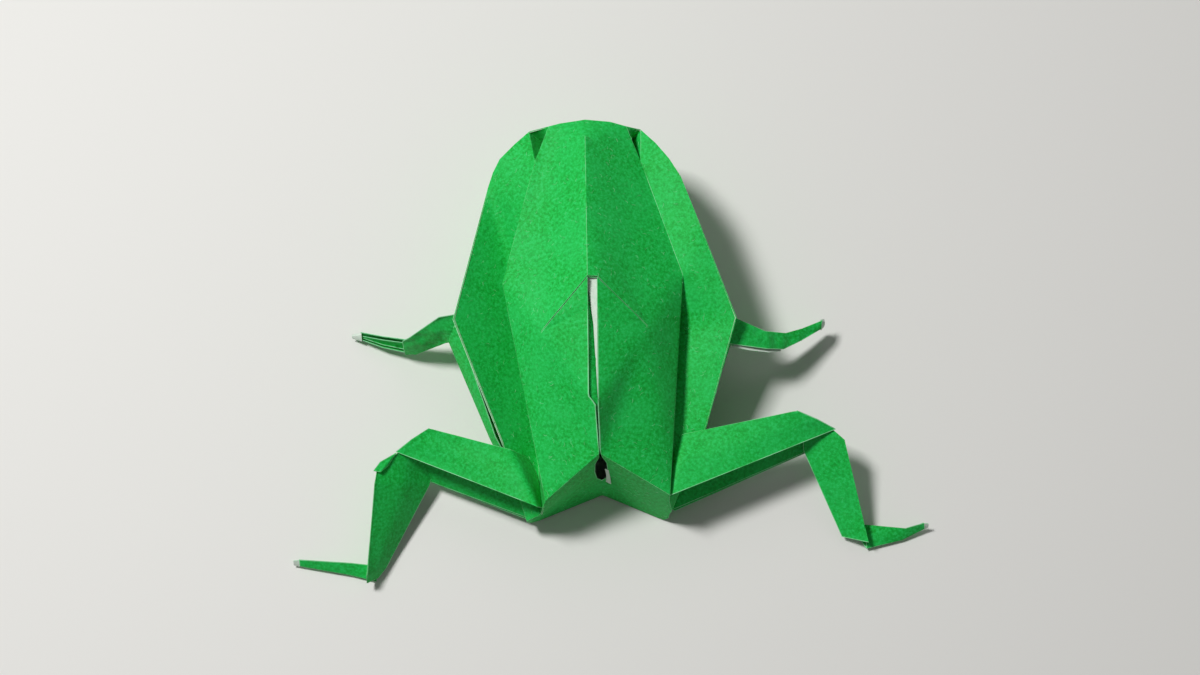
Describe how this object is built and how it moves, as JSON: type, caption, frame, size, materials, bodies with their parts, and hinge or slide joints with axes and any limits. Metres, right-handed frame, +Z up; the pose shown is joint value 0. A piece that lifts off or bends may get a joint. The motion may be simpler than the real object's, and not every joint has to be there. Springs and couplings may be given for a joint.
{
  "type": "origami frog",
  "caption": "Paper frog folded from one square sheet: a hollow faceted body with a ridged back and a blow hole, bent hind legs and thin forelegs.",
  "frame": {"origin": "the point of the flat belly that lies under the top of the back", "axes": "+Y towards the nose, +Z up from the belly to the back, +X to the frog's right as it is seen in the picture"},
  "size_m": [0.0873, 0.0618, 0.0222],
  "materials": {
    "paper": "matte"
  },
  "bodies": {
    "root": {"folded_frog": "paper"}
  },
  "joints": []
}
